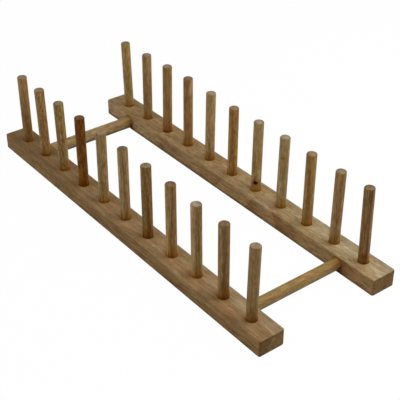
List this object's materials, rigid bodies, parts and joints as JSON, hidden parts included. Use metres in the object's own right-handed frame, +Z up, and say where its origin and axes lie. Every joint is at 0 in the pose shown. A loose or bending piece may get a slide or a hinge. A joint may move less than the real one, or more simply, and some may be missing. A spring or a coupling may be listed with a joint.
{
  "type": "plate rack",
  "caption": "Low wooden plate rack: parallel flat rails, each with a row of round upright pegs, joined near the ends by round cross dowels.",
  "frame": {"origin": "centre of the rack's footprint, on the surface that it stands on", "axes": "+X along the rails, +Y from the front rail to the back rail, +Z up"},
  "size_m": [0.4, 0.149, 0.088],
  "materials": {
    "rail_wood": "satin clear lacquer over pinkish brown wood",
    "peg_wood": "satin clear lacquer over tan wood",
    "dark_peg_wood": "satin clear lacquer over dark reddish brown wood",
    "cross_dowel_wood": "satin clear lacquer over golden wood"
  },
  "bodies": {
    "root": {"front_rail": "rail_wood", "back_rail": "rail_wood", "left_cross_dowel": "cross_dowel_wood", "right_cross_dowel": "cross_dowel_wood", "front_peg_01": "peg_wood", "front_peg_02": "peg_wood", "front_peg_03": "peg_wood", "front_peg_04": "dark_peg_wood", "front_peg_05": "peg_wood", "front_peg_06": "peg_wood", "front_peg_07": "peg_wood", "front_peg_08": "peg_wood", "front_peg_09": "peg_wood", "front_peg_10": "peg_wood", "front_peg_11": "peg_wood", "back_peg_01": "peg_wood", "back_peg_02": "peg_wood", "back_peg_03": "peg_wood", "back_peg_04": "peg_wood", "back_peg_05": "peg_wood", "back_peg_06": "peg_wood", "back_peg_07": "peg_wood", "back_peg_08": "peg_wood", "back_peg_09": "peg_wood", "back_peg_10": "peg_wood", "back_peg_11": "peg_wood"}
  },
  "joints": []
}
